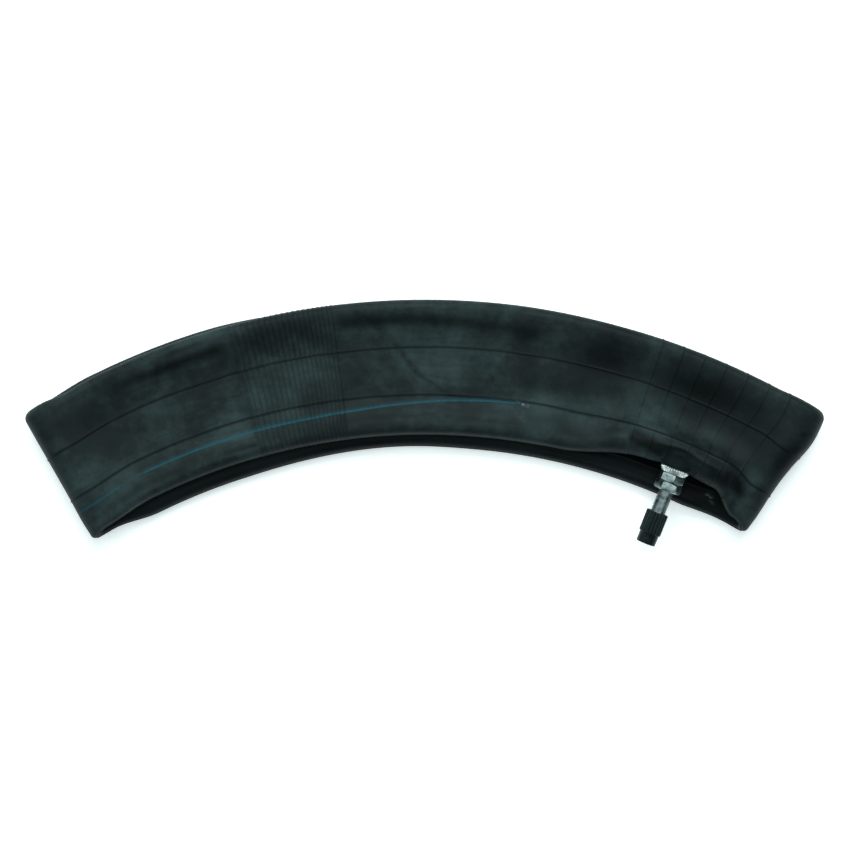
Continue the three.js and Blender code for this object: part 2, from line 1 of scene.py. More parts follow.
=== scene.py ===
import bpy
import json
import math
import numpy as np
from mathutils import Matrix, Vector, noise


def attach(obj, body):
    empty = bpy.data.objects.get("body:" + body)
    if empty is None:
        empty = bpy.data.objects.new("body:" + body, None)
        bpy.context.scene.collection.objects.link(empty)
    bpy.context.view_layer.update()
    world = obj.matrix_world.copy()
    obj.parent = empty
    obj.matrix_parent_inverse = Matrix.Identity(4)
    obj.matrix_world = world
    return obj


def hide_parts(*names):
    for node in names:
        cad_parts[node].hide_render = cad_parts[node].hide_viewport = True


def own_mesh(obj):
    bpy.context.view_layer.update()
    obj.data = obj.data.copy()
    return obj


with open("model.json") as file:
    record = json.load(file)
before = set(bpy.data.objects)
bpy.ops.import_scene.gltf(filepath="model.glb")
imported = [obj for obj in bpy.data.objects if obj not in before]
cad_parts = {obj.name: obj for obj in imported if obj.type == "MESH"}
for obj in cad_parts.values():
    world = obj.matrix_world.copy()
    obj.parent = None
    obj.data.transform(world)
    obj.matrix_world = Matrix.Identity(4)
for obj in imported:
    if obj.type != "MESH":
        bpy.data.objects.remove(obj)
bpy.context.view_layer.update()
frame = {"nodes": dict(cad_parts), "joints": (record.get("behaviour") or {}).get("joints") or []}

MM = 0.001
bpy.ops.object.select_all(action="DESELECT")

# ---------------------------------------------------------------- the tube
# A ring of moulded black butyl rubber, about 1.8 mm thick, let down, pressed flat and
# folded in half, so that it lies in two layers. Mould lines run along it and fine ribs
# across it; a blue marking line was printed on one side while it was in one piece.
MID_RADIUS = 350.2
HALF_WIDTH = 34.3
LEFT_FOLD = -30.9
RIGHT_FOLD = 30.2
FOLD_RADIUS = 6.2
FOLD_LIFT_LENGTH = 45
EDGE_RADIUS = 4.5
MIDDLE_HALF = 2.2
FLAT_HALF_OUTER = 10
FLAT_HALF_INNER = 12
LAYER_GAP = 0.6
LOWER_SLIP_LEFT = -3.2
LOWER_SLIP_RIGHT = -6.6
LOWER_EXTRA_LEFT = 4.9
FOLD_SLIP = -1.9
FOLD_EXTRA = 2.4
LEFT_FOLD_SHEAR = 0.02
RIGHT_FOLD_SHEAR = 0.065
RIGHT_NARROWING = 0.5
FOLD_BELLY, FOLD_BELLY_AT, FOLD_BELLY_REACH = 3.0, 20, 15
VALVE_ANGLE = 23.16
SEAT_RADIUS = 323.0
VALVE_HEIGHT = 18.0
SEAT_EDGE_RADIUS = 8.2
SEAT_DRAW_BACK = 7.6
SEAT_DIMPLE = 2.1
SEAT_DIMPLE_REACH = 8.5
SEAT_FROM, SEAT_FULL_FROM, SEAT_FULL_TO, SEAT_TO = 12.6, 20.4, 27.2, 30.2
FOLD_REACH = 2.5
RIGHT_CORNER = 1.6
FOLD_EDGE_RADIUS = 2.6
THIN_REACH = 4.5

UPPER_RIDGE = 10.1
LOWER_RIDGE = -14.3
LOWER_RIDGE_AT_VALVE = -12.4
HIDDEN_RIDGE = -22.9
RIDGE_HEIGHT, RIDGE_HALF = 0.4, 0.42
COMB_FROM, COMB_TO, COMB_RIBS = -15.25, -7.2, 20
COMB_HEIGHT, COMB_HALF_DEG = 0.26, 0.062
SPARSE_FROM, SPARSE_STEP, SPARSE_RIBS = 18.5, 1.67, 7
SPARSE_HEIGHT, SPARSE_HALF_DEG = 0.24, 0.06

cap_axis = Vector([j for j in frame["joints"] if j["name"] == "cap_turn"][0]["axis"])
cap_point = Vector([j for j in frame["joints"] if j["name"] == "cap_turn"][0]["pos_m"])
CAP_POINT_DISTANCE = 28.0
seat = cap_point - cap_axis.normalized() * CAP_POINT_DISTANCE * MM
valve_turn = math.radians(VALVE_ANGLE)
ARC_X = seat.x - SEAT_RADIUS * MM * math.sin(valve_turn)
ARC_Y = seat.y - SEAT_RADIUS * MM * math.cos(valve_turn)


def ease(start, end, x):
    t = np.clip((x - start) / (end - start), 0, 1)
    return t * t * (3 - 2 * t)


def mix(a, b, t):
    return a + (b - a) * t


def bump(x, half):
    return np.exp(-((x / half) ** 2))


LOWER_MID = EDGE_RADIUS
UPPER_MID = EDGE_RADIUS * 3 + LAYER_GAP
FOLD_RISE = LOWER_MID + 2 * FOLD_RADIUS - UPPER_MID


def to_fold(deg):
    return np.minimum(deg - LEFT_FOLD, RIGHT_FOLD - deg)


def edge_radius(deg):
    """The inside edge is pressed thinner where it runs into a fold."""
    return mix(FOLD_EDGE_RADIUS, EDGE_RADIUS, ease(0, THIN_REACH, to_fold(deg)))


def seat_amount(deg):
    return ease(SEAT_FROM, SEAT_FULL_FROM, deg) * (1 - ease(SEAT_FULL_TO, SEAT_TO, deg))


def shear_at(deg):
    left = LEFT_FOLD_SHEAR * (1 - ease(0, 12, deg - LEFT_FOLD))
    return left + RIGHT_FOLD_SHEAR * (1 - ease(0, 12, RIGHT_FOLD - deg))


def upper_stations(deg):
    """Where the cross section stands along the upper layer, in mm and degrees."""
    amount = seat_amount(deg)
    along = np.radians(deg - VALVE_ANGLE) * SEAT_RADIUS
    near = np.radians(to_fold(deg)) * MID_RADIUS
    edge = mix(FOLD_EXTRA, -RIGHT_NARROWING * ease(6, 16, deg), ease(0, FOLD_REACH, to_fold(deg)))
    lead = FOLD_EXTRA * (1 - ease(0, FOLD_REACH, to_fold(deg)))
    lead += RIGHT_CORNER * (1 - ease(0, 2, RIGHT_FOLD - deg))
    left_slip = FOLD_SLIP * (1 - ease(0, 5, deg - LEFT_FOLD))
    right_slip = FOLD_SLIP * (1 - ease(0, 2.2, RIGHT_FOLD - deg))
    return dict(
        deg=deg,
        ahead=0 * deg,
        height=UPPER_MID + FOLD_RISE * (1 - ease(0, FOLD_LIFT_LENGTH, near)),
        turn=0 * deg,
        slip=left_slip + right_slip,
        extra=edge,
        draw_back=SEAT_DRAW_BACK * amount + SEAT_DIMPLE * np.exp(-((along / SEAT_DIMPLE_REACH) ** 2)) + lead,
        inner_radius=mix(edge_radius(deg), SEAT_EDGE_RADIUS, amount),
        lift=(VALVE_HEIGHT - UPPER_MID) * amount,
        sink=-1 + 0 * deg,
        fullness=1 - ease(0, 5, to_fold(deg)),
        inner_ridge=mix(LOWER_RIDGE, LOWER_RIDGE_AT_VALVE, amount),
        layer=1 + 0 * deg,
    )


def lower_stations(deg):
    slip = mix(LOWER_SLIP_LEFT, LOWER_SLIP_RIGHT, ease(-16, 6, deg))
    wide = LOWER_EXTRA_LEFT * (1 - ease(-18, 1, deg))
    return dict(
        deg=deg,
        ahead=0 * deg,
        height=LOWER_MID + 0 * deg,
        turn=math.pi + 0 * deg,
        slip=mix(FOLD_SLIP, slip, ease(0, 5, to_fold(deg))),
        extra=mix(FOLD_EXTRA, wide, ease(0, 4.5, to_fold(deg))),
        draw_back=0 * deg,
        inner_radius=edge_radius(deg),
        lift=0 * deg,
        sink=1 + 0 * deg,
        fullness=1 - ease(0, 5, to_fold(deg)),
        inner_ridge=LOWER_RIDGE + 0 * deg,
        layer=-1 + 0 * deg,
    )


def fold_stations(side, turn):
    """The half turn at a fold; side is 1 at the right and -1 at the left."""
    one = 1 + 0 * turn
    corner = FOLD_EXTRA + (RIGHT_CORNER if side > 0 else 0)
    return dict(
        deg=(RIGHT_FOLD if side > 0 else LEFT_FOLD) * one,
        ahead=side * FOLD_RADIUS * np.sin(turn),
        height=LOWER_MID + FOLD_RADIUS * (1 + np.cos(turn)),
        turn=side * turn,
        slip=FOLD_SLIP * one,
        extra=FOLD_EXTRA * one,
        draw_back=corner * (1 - ease(0, 1.5, turn)),
        inner_radius=FOLD_EDGE_RADIUS * one,
        lift=0 * turn,
        sink=0 * turn,
        fullness=one,
        inner_ridge=LOWER_RIDGE * one,
        layer=np.cos(turn),
    )


def around_ribs(ribs, half):
    """Angles close together over each rib, so that its shape is kept."""
    return np.concatenate([rib + half * np.array([-2.4, -1.3, -0.6, 0, 0.6, 1.3, 2.4]) for rib in ribs])


# the last ribs of the comb stand closer together than the first
comb_share = np.linspace(0, 1, COMB_RIBS)
comb_ribs = mix(COMB_FROM, COMB_TO, comb_share * (1.22 - 0.22 * comb_share))
comb_ribs = np.append(comb_ribs, COMB_FROM + 0.17)
sparse_ribs = SPARSE_FROM + SPARSE_STEP * np.arange(SPARSE_RIBS)

FOLD_STEPS = 14
upper_degs = np.concatenate([
    np.arange(LEFT_FOLD, COMB_FROM - 0.3, 0.45),
    around_ribs(comb_ribs, COMB_HALF_DEG),
    np.arange(COMB_TO + 0.4, 12.6, 0.5),
    np.arange(12.6, RIGHT_FOLD, 0.27),
    around_ribs(sparse_ribs, SPARSE_HALF_DEG),
])
upper_degs = np.unique(np.round(upper_degs, 3))
upper_degs = upper_degs[upper_degs < RIGHT_FOLD - 0.05]
keep_deg = np.concatenate([[True], np.diff(upper_degs) > 0.012])
upper_degs = upper_degs[keep_deg]
lower_degs = np.linspace(RIGHT_FOLD, LEFT_FOLD, 110, endpoint=False)
right_turns = np.linspace(0, math.pi, FOLD_STEPS, endpoint=False)
left_turns = np.linspace(math.pi, 0, FOLD_STEPS, endpoint=False)
groups = [
    upper_stations(upper_degs),
    fold_stations(1, right_turns),
    lower_stations(lower_degs),
    fold_stations(-1, left_turns),
]
station = {key: np.concatenate([g[key] for g in groups])[:, None] for key in groups[0]}

outer_end = HALF_WIDTH + station["extra"] - EDGE_RADIUS
inner_end = HALF_WIDTH + station["extra"] - station["draw_back"] - station["inner_radius"]
swell_from = np.minimum(FLAT_HALF_INNER, inner_end * 0.4)
middle_half = mix(MIDDLE_HALF, EDGE_RADIUS, station["fullness"])


def half_thickness(b):
    outer = mix(middle_half, EDGE_RADIUS, ease(FLAT_HALF_OUTER, outer_end, b))
    inner = mix(middle_half, station["inner_radius"], ease(swell_from, inner_end, -b))
    return np.where(b > 0, outer, inner)


def middle_height(b):
    outer = mix(middle_half, EDGE_RADIUS, ease(FLAT_HALF_OUTER, outer_end, b))
    inner = mix(middle_half, EDGE_RADIUS, ease(swell_from, inner_end, -b))
    flat = np.where(b > 0, outer, inner)
    # the comb of ribs stiffens the wall, which sinks less there
    stiff = ease(-16.2, -15.2, station["deg"]) * (1 - ease(-7.4, -6.4, station["deg"]))
    sink = station["sink"] * (1 - 0.45 * stiff * (station["layer"] > 0))
    return sink * (EDGE_RADIUS - flat) + station["lift"] * ease(-4, inner_end, -b)


def between(start, end, count):
    return start + (end - start) * (np.arange(count) / count)[None, :]


NEAR_RIDGE = np.array([1.2, 0.75, 0.45, 0.22, 0, -0.22, -0.45, -0.75])[None, :]
high = UPPER_RIDGE + 0 * outer_end
low = station["inner_ridge"]
side_out = np.concatenate([
    between(outer_end, high + 1.2, 12),
    high + NEAR_RIDGE,
    between(high - 1.2, low + 1.2, 14),
    low + NEAR_RIDGE,
    between(low - 1.2, -inner_end, 9),
], axis=1)
low_inside = mix(LOWER_RIDGE, HIDDEN_RIDGE, (station["layer"] < -0.5) * 1.0) + 0 * outer_end
side_in = np.concatenate([
    between(-inner_end, low_inside - 1.2, 6),
    low_inside - NEAR_RIDGE,
    between(low_inside + 1.2, high - 1.2, 14),
    high - NEAR_RIDGE,
    between(high + 1.2, outer_end, 10),
], axis=1)
EDGE_STEPS = 12
outer_turn = np.radians(np.linspace(-90, 90, EDGE_STEPS, endpoint=False))[None, :]
seam_steps = [0, 15, 30, 45, 57, 67, 74, 79, 83, 86.5, 90, 93.5, 97, 101, 106, 113, 123, 135, 150, 165]
inner_turn = np.radians(90 + np.array(seam_steps, float))[None, :]
across = np.concatenate([
    outer_end + EDGE_RADIUS * np.cos(outer_turn),
    side_out,
    -inner_end + station["inner_radius"] * np.cos(inner_turn),
    side_in,
], axis=1)
out = np.concatenate([
    middle_height(outer_end) + EDGE_RADIUS * np.sin(outer_turn),
    middle_height(side_out) + half_thickness(side_out),
    middle_height(-inner_end) + station["inner_radius"] * np.sin(inner_turn),
    middle_height(side_in) - half_thickness(side_in),
], axis=1)
AROUND = across.shape[1]
columns = np.arange(AROUND)
inner_columns = (columns >= EDGE_STEPS + side_out.shape[1]) & (
    columns < EDGE_STEPS + side_out.shape[1] + inner_turn.shape[1]
)
top_columns = (columns >= EDGE_STEPS) & (columns < EDGE_STEPS + side_out.shape[1])
under_columns = columns >= EDGE_STEPS + side_out.shape[1] + inner_turn.shape[1]


def place(at, across, out):
    """Points of a cross section in space, in metres."""
    turn = np.radians(at["deg"])
    radius = MID_RADIUS + at["slip"] + across
    belly = FOLD_BELLY * bump(across - FOLD_BELLY_AT, FOLD_BELLY_REACH) * ease(-9, 0, at["deg"] - RIGHT_FOLD)
    further = 1 + (EDGE_RADIUS - FOLD_EDGE_RADIUS) / FOLD_RADIUS * ease(FLAT_HALF_INNER, 30, -across)
    ahead = at["ahead"] * further + out * np.sin(at["turn"]) + shear_at(at["deg"]) * across + belly
    x = radius * np.sin(turn) + ahead * np.cos(turn)
    y = radius * np.cos(turn) - ahead * np.sin(turn)
    z = at["height"] + out * np.cos(at["turn"])
    return np.stack([ARC_X + x * MM, ARC_Y + y * MM, z * MM], axis=-1)


# soft shapes pressed into the upper layer: angle, across, reach in degrees, reach in mm, height
upper_face = (station["layer"] > 0.2) * top_columns[None, :]
deg = station["deg"] + 0 * across
SOFT_SHAPES = [
    (-26.6, 27.5, 2.2, 2.6, -0.9), (-18.8, 28.0, 1.9, 2.4, -0.7), (-19.5, 21.5, 4.5, 3.2, -0.6),
    (-25.8, -27.5, 3.6, 2.3, -1.0), (-16.8, -27.8, 1.5, 2.4, -1.0), (-4.4, 22.0, 4.2, 4.2, -0.7),
    (1.8, 19.0, 5.0, 4.0, -0.6), (4.3, -26.6, 3.0, 1.0, -0.5), (5.6, -28.8, 2.6, 0.8, -0.45),
    (-3.0, -26.0, 3.4, 1.1, -0.4), (10.0, -8.5, 2.6, 6.5, -0.8), (12.6, -26.6, 1.6, 1.3, -0.6),
    (13.6, -12.5, 2.4, 4.5, 0.8), (17.8, -12.0, 1.7, 4.2, 1.3),
]
shape = np.zeros_like(across)
for at, b, reach_deg, reach_mm, height in SOFT_SHAPES:
    shape += height * bump(deg - at, reach_deg) * bump(across - b, reach_mm)
# the upper layer's wall rises in a long crest behind the valve
CREST_HEIGHT, CREST_AT, CREST_REACH = 2.3, -10.6, 4.2
crest = ease(16.0, 20.0, deg) * (1 - ease(25.5, 29.0, deg))
shape += CREST_HEIGHT * crest * bump(across - CREST_AT, CREST_REACH)
shape *= upper_face

ridges = bump(across - UPPER_RIDGE, RIDGE_HALF) * (top_columns | under_columns)[None, :]
ridges = ridges + bump(across - low, RIDGE_HALF) * top_columns[None, :]
ridges = ridges + bump(across - low_inside, RIDGE_HALF) * under_columns[None, :]
on_upper = (station["layer"] > 0.2) * 1.0
ribs = np.zeros_like(across)
fade = 0.45 + 0.55 * ease(4, 16, np.abs(across + 2))
for rib in comb_ribs:
    ribs += COMB_HEIGHT * bump(deg - rib, COMB_HALF_DEG) * fade
for rib in sparse_ribs:
    ribs += SPARSE_HEIGHT * bump(deg - rib, SPARSE_HALF_DEG) * fade
ribs *= on_upper
tip = np.zeros(AROUND)
tip[inner_columns] = np.abs(np.degrees(inner_turn[0]) - 180) / 180 * math.pi * EDGE_RADIUS
SEAM_HEIGHT, SEAM_HALF = 0.42, 0.55
CREASE_DEPTH, CREASE_HALF = 1.1, 0.55
seam = SEAM_HEIGHT * np.exp(-((tip / SEAM_HALF) ** 2)) * inner_columns
crease = ease(8, 12, deg) * (station["layer"] < -0.2) * under_columns[None, :]
crease = -CREASE_DEPTH * crease * bump(across + inner_end - 0.6, CREASE_HALF)

smooth = place(station, across, out + shape)
ahead_step = np.roll(smooth, -1, axis=0) - np.roll(smooth, 1, axis=0)
around_step = np.roll(smooth, -1, axis=1) - np.roll(smooth, 1, axis=1)
normal = np.cross(around_step, ahead_step)
normal /= np.linalg.norm(normal, axis=-1, keepdims=True) + 1e-12
middle = smooth.mean(axis=1, keepdims=True)
if ((smooth - middle) * normal).sum() < 0:
    normal = -normal

# slow waves of let-down rubber, larger on the faces than along the edges
SLOW_WAVES, QUICK_WAVES, QUICK_SHARE, WAVE_HEIGHT = 34, 95, 0.45, 0.5
wave = np.array([
    noise.noise(Vector((p[0], p[1], p[2])) * SLOW_WAVES)
    + QUICK_SHARE * noise.noise(Vector((p[0], p[1], p[2])) * QUICK_WAVES)
    for p in smooth.reshape(-1, 3)
]).reshape(across.shape)
loose = 0.35 + 0.65 * (1 - ease(22, 31, np.abs(across)))
lines = RIDGE_HEIGHT * ridges + ribs + seam[None, :] + crease
relief = lines + WAVE_HEIGHT * wave * loose * upper_face
points = smooth + normal * (relief * MM)[..., None]


def closed_net(values):
    """Repeats the first row and the first column, to meet the last ones."""
    values = np.concatenate([values, values[:1]], axis=0)
    return np.concatenate([values, values[:, :1]], axis=1)


def closed_piece(name, points):
    """A flat net of faces bent through rows of points, whose edges meet along both ways."""
    bpy.ops.object.select_all(action="DESELECT")
    bpy.ops.mesh.primitive_grid_add(x_subdivisions=points.shape[1], y_subdivisions=points.shape[0])
    piece = bpy.context.object
    piece.name = name
    piece.data.name = name
    piece.data.vertices.foreach_set("co", closed_net(points).reshape(-1))
    return piece


def keep_values(piece, name, values):
    """Stores one number for each point, for the material to read."""
    attribute = piece.data.attributes.new(name, "FLOAT", "POINT")
    attribute.data.foreach_set("value", closed_net(values).astype(np.float32).reshape(-1))


tube = closed_piece("folded_tube", points)
keep_values(tube, "angle", deg)
keep_values(tube, "across", across)
keep_values(tube, "upper", upper_face + 0 * across)


# dark wipes where fingers and straps rubbed the bloom off, broad darker blotches, strokes of
# painted shade in the hollows beside the valve, along the outer slope and along the inside
# edge, and spots of talc left on it
def stroke(start, end, half):
    """Nearness of each point to a straight stroke between two (angle, across) places."""
    a = np.array([math.radians(start[0]) * MID_RADIUS, start[1]])
    d = np.array([math.radians(end[0]) * MID_RADIUS, end[1]]) - a
    x = np.radians(deg) * MID_RADIUS - a[0]
    y = across - a[1]
    share = np.clip((x * d[0] + y * d[1]) / (d @ d), 0, 1)
    gap = np.hypot(x - share * d[0], y - share * d[1])
    return bump(gap, half)


wipes_and_shade_strokes = [
    # wipes across the band where fingers and straps rubbed the bloom off
    ((-5.3, 30), (-3.0, 16), 1.3, 0.45), ((-2.5, 12.5), (-0.6, -3.8), 1.5, 0.75),
    ((-0.6, -3.8), (2.1, -14), 1.2, 0.55), ((7.5, 15.8), (5.3, -9.4), 1.0, 0.5),
    # broad darker blotches
    ((-26.5, 2), (-22.0, -2), 6.0, 0.3), ((9.0, -4), (13.0, -2), 5.0, 0.45),
    ((9.2, -22), (12.5, -20), 3.4, 0.4), ((-22.0, 6), (-17.0, 9), 4.0, 0.3),
    ((-29.5, -12), (-27.0, -24), 3.4, 0.3),
    # painted shade along the inside edge
    ((-18.4, -27.6), (-15.6, -28.2), 1.6, 0.85), ((-28.5, -27.6), (-22.5, -28.2), 2.2, 0.6),
    # painted shade in the hollows beside the valve
    ((18.5, -19.0), (21.2, -21.5), 2.6, 0.95), ((18.8, -16.6), (22.0, -18.6), 3.0, 0.9),
    ((26.0, -17.0), (29.0, -18.6), 3.4, 0.9), ((25.8, -31.0), (28.4, -30.0), 2.6, 0.9),
    # painted shade: the first stroke beside the valve, the rest along the outer slope
    ((26.6, -19.5), (29.4, -20.5), 3.6, 0.95), ((-26.0, 25.5), (-22.6, 24.0), 3.0, 0.6),
    ((-21.5, 23.0), (-16.4, 24.4), 3.2, 0.8), ((-6.4, 24.6), (0.6, 24.2), 3.6, 0.7),
    ((0.6, 24.0), (8.5, 21.5), 3.4, 0.6),
]
# broad fields of painted shade, towards both ends, behind the valve, on the outer slope and
# along the inside edge: angle, across, reach in degrees, reach in mm, depth
BROAD_PAINTED_SHADE = [
    (-28.5, 14, 3.4, 16, 0.45), (14.4, 14, 3.4, 15, 0.8), (22.5, 15, 5.4, 12, 0.95),
    (28.0, 6, 2.8, 12, 0.85), (13.2, -24, 2.2, 6, 0.6), (-11.5, 22, 3.2, 8, 0.3),
    (5.5, -29, 4.5, 1.6, 0.4), (-4.0, -28.5, 3.6, 1.2, 0.4),
]
kept = 1 - 0 * across
for start, end, half, depth in wipes_and_shade_strokes:
    kept *= 1 - depth * stroke(start, end, half)
# painted shade over broad fields
for at, b, reach_deg, reach_mm, depth in BROAD_PAINTED_SHADE:
    kept *= 1 - depth * bump(deg - at, reach_deg) * bump(across - b, reach_mm)
# painted shade and dirt along the foot of every moulded line and rib
line_foot_shade_and_dirt = bump(across - UPPER_RIDGE - 0.3, 0.6) + bump(across - low - 0.3, 0.6)
line_foot_shade_and_dirt = np.minimum(line_foot_shade_and_dirt, 1) * top_columns[None, :]
COMB_SHADE_AND_DIRT, SPARSE_SHADE_AND_DIRT, LINE_SHADE_AND_DIRT = 0.5, 0.2, 0.9
COMB_SHADE_AND_DIRT_HALF, SPARSE_SHADE_AND_DIRT_HALF, SHADE_AND_DIRT_SHIFT = 0.085, 0.11, 0.05
# painted shade and dirt beside each rib
for rib in np.concatenate([comb_ribs, sparse_ribs]):
    half_deg = COMB_SHADE_AND_DIRT_HALF if rib < 0 else SPARSE_SHADE_AND_DIRT_HALF
    amount = COMB_SHADE_AND_DIRT if rib < 0 else SPARSE_SHADE_AND_DIRT
    rib_shade_and_dirt = amount * bump(deg - rib - SHADE_AND_DIRT_SHIFT, half_deg) * on_upper
    line_foot_shade_and_dirt = np.maximum(line_foot_shade_and_dirt, rib_shade_and_dirt)
kept *= 1 - LINE_SHADE_AND_DIRT * line_foot_shade_and_dirt
# painted shade on the lower layer's face under the upper one and along its inside edge, and on the upper
# layer's underside
between_layers = (station["layer"] < 0.3) * (under_columns | inner_columns)[None, :]
BETWEEN_LAYERS_SHADE, UNDERSIDE_SHADE = 0.8, 0.5
under_upper = on_upper * under_columns[None, :]
wear_and_painted_shade = 1 - kept * (1 - BETWEEN_LAYERS_SHADE * between_layers) * (1 - UNDERSIDE_SHADE * under_upper)
talc = 0.9 * stroke((8.3, -14.6), (8.9, -16.2), 0.55)
talc = np.maximum(talc, 0.8 * stroke((8.9, -16.2), (8.85, -23.0), 0.6))
keep_values(tube, "wear_and_painted_shade", wear_and_painted_shade)
low_talc = 0.7 * stroke((27.3, -25.5), (27.9, -29.5), 0.5) * (station["layer"] < -0.5)
keep_values(tube, "talc", talc * upper_face + low_talc)


def face_outwards(piece):
    """Joins meeting points and turns a closed mesh right side out."""
    bpy.ops.object.select_all(action="DESELECT")
    piece.select_set(True)
    bpy.context.view_layer.objects.active = piece
    bpy.ops.object.mode_set(mode="EDIT")
    bpy.ops.mesh.select_all(action="SELECT")
    bpy.ops.mesh.remove_doubles(threshold=0.000001)
    bpy.ops.mesh.normals_make_consistent(inside=False)
    bpy.ops.object.mode_set(mode="OBJECT")


face_outwards(tube)
bpy.ops.object.shade_smooth()


def hex_colour(text):
    """An sRGB hex colour as linear numbers with full alpha."""
    parts = [int(text[k:k + 2], 16) / 255 for k in (1, 3, 5)]
    linear = [p / 12.92 if p <= 0.04045 else ((p + 0.055) / 1.055) ** 2.4 for p in parts]
    return (*linear, 1.0)


def node(tree, kind, settings=None, inputs=None, links=None):
    """Adds one node, sets its properties and inputs, and links other nodes' outputs in."""
    made = tree.nodes.new(kind)
    for key, value in (settings or {}).items():
        setattr(made, key, value)
    for key, value in (inputs or {}).items():
        made.inputs[key].default_value = value
    for key, (other, output) in (links or {}).items():
        tree.links.new(other.outputs[output], made.inputs[key])
    return made


def new_material(name):
    """A material with only its Principled shader; returns it, its tree and the shader."""
    material = bpy.data.materials.new(name)
    material.use_nodes = True
    tree = material.node_tree
    return material, tree, tree.nodes["Principled BSDF"]


def ramp(tree, source, stops):
    """Maps a number to colours or greys at the given places."""
    made = node(tree, "ShaderNodeValToRGB", links={"Fac": source})
    band = made.color_ramp
    while len(band.elements) > 1:
        band.elements.remove(band.elements[-1])
    for k, (place_on_band, colour) in enumerate(stops):
        element = band.elements[0] if k == 0 else band.elements.new(place_on_band)
        element.position = place_on_band
        element.color = colour if isinstance(colour, tuple) else (colour, colour, colour, 1)
    return made


# Moulded butyl rubber: dull black with a thin grey bloom, fine grain from the mould and
# a soft gloss where the bloom is rubbed off, with painted shade darkening it in hollows,
# between the layers and on slopes turned from the light.
rubber, tree, shader = new_material("moulded_butyl_rubber")
place_on = node(tree, "ShaderNodeTexCoord")
cloud = node(tree, "ShaderNodeTexNoise", inputs={"Scale": 28.0, "Detail": 5.0, "Roughness": 0.62},
             links={"Vector": (place_on, "Object")})
mottle = node(tree, "ShaderNodeTexNoise", inputs={"Scale": 210.0, "Detail": 4.0, "Roughness": 0.7},
              links={"Vector": (place_on, "Object")})
grain = node(tree, "ShaderNodeTexNoise", inputs={"Scale": 2600.0, "Detail": 3.0, "Roughness": 0.6},
             links={"Vector": (place_on, "Object")})
both = node(tree, "ShaderNodeMath", {"operation": "MULTIPLY_ADD"}, {1: 0.22},
            {0: (mottle, "Fac"), 2: (cloud, "Fac")})
bloom = ramp(tree, (both, "Value"), [(0.42, hex_colour("#0b1112")), (0.6, hex_colour("#192324")),
                                     (0.8, hex_colour("#2b3a3b"))])
wear_and_shade_at = node(tree, "ShaderNodeAttribute", {"attribute_name": "wear_and_painted_shade"})
across_at = node(tree, "ShaderNodeAttribute", {"attribute_name": "across"})
angle_at = node(tree, "ShaderNodeAttribute", {"attribute_name": "angle"})
# faint streaks along the tube, from the way it came out of its mould
on_tube = node(tree, "ShaderNodeCombineXYZ", links={"X": (angle_at, "Fac"), "Y": (across_at, "Fac")})
long_streak = node(tree, "ShaderNodeMapping", {}, {"Scale": (0.3, 0.3, 1.0)}, {"Vector": (on_tube, "Vector")})
streak = node(tree, "ShaderNodeTexNoise", inputs={"Scale": 1.0, "Detail": 5.0, "Roughness": 0.65},
              links={"Vector": (long_streak, "Vector")})
streak_dark = ramp(tree, (streak, "Fac"), [(0.36, 0.3), (0.6, 0.0)])
# the streaks, the rubbed wear and the painted shade darken the bloom towards near black
less = node(tree, "ShaderNodeMath", {"operation": "MAXIMUM"},
            links={0: (streak_dark, "Color"), 1: (wear_and_shade_at, "Fac")})
dark = node(tree, "ShaderNodeMix", {"data_type": "RGBA"}, {"B": hex_colour("#020405")},
            {"Factor": (less, "Value"), "A": (bloom, "Color")})
upper_at = node(tree, "ShaderNodeAttribute", {"attribute_name": "upper"})

# the printed blue line: it keeps its distance from the mould line, then runs into it
STRIPE_ACROSS = -20.9
drift = node(tree, "ShaderNodeMapRange", {"interpolation_type": "SMOOTHSTEP"},
             {"From Min": -11.0, "From Max": 9.0, "To Min": STRIPE_ACROSS, "To Max": -15.0},
             {"Value": (angle_at, "Fac")})
offset = node(tree, "ShaderNodeMath", {"operation": "SUBTRACT"},
              links={0: (across_at, "Fac"), 1: (drift, "Result")})
STRIPE_BAND = 4.0
share = node(tree, "ShaderNodeMapRange", {},
             {"From Min": -STRIPE_BAND, "From Max": STRIPE_BAND, "To Min": 0.0, "To Max": 1.0},
             {"Value": (offset, "Value")})
line = ramp(tree, (share, "Result"), [(0.37, 0.0), (0.41, 0.95), (0.47, 0.7), (0.55, 0.22), (0.7, 0.0)])
long_way = node(tree, "ShaderNodeMapRange", {}, {"From Min": -32.0, "From Max": 14.0},
                {"Value": (angle_at, "Fac")})
along = ramp(tree, (long_way, "Result"), [
    (0.0, 0.55), (0.075, 0.6), (0.095, 0.18), (0.125, 0.3), (0.145, 0.9), (0.75, 0.9), (0.86, 0.85),
    (0.875, 0.25), (0.97, 0.16), (1.0, 0.0)])
fleck = node(tree, "ShaderNodeTexNoise", inputs={"Scale": 900.0, "Detail": 3.0},
             links={"Vector": (place_on, "Object")})
worn = ramp(tree, (fleck, "Fac"), [(0.32, 0.55), (0.6, 1.0)])
printed = node(tree, "ShaderNodeMath", {"operation": "MULTIPLY"},
               links={0: (line, "Color"), 1: (along, "Color")})
worn_print = node(tree, "ShaderNodeMath", {"operation": "MULTIPLY"},
                  links={0: (printed, "Value"), 1: (worn, "Color")})
shown_print = node(tree, "ShaderNodeMath", {"operation": "MULTIPLY"},
                   links={0: (worn_print, "Value"), 1: (upper_at, "Fac")})
striped = node(tree, "ShaderNodeMix", {"data_type": "RGBA"}, {"B": hex_colour("#0a4c5a")},
               {"Factor": (shown_print, "Value"), "A": (dark, "Result")})
talc_at = node(tree, "ShaderNodeAttribute", {"attribute_name": "talc"})
broken = ramp(tree, (fleck, "Fac"), [(0.4, 0.0), (0.62, 1.0)])
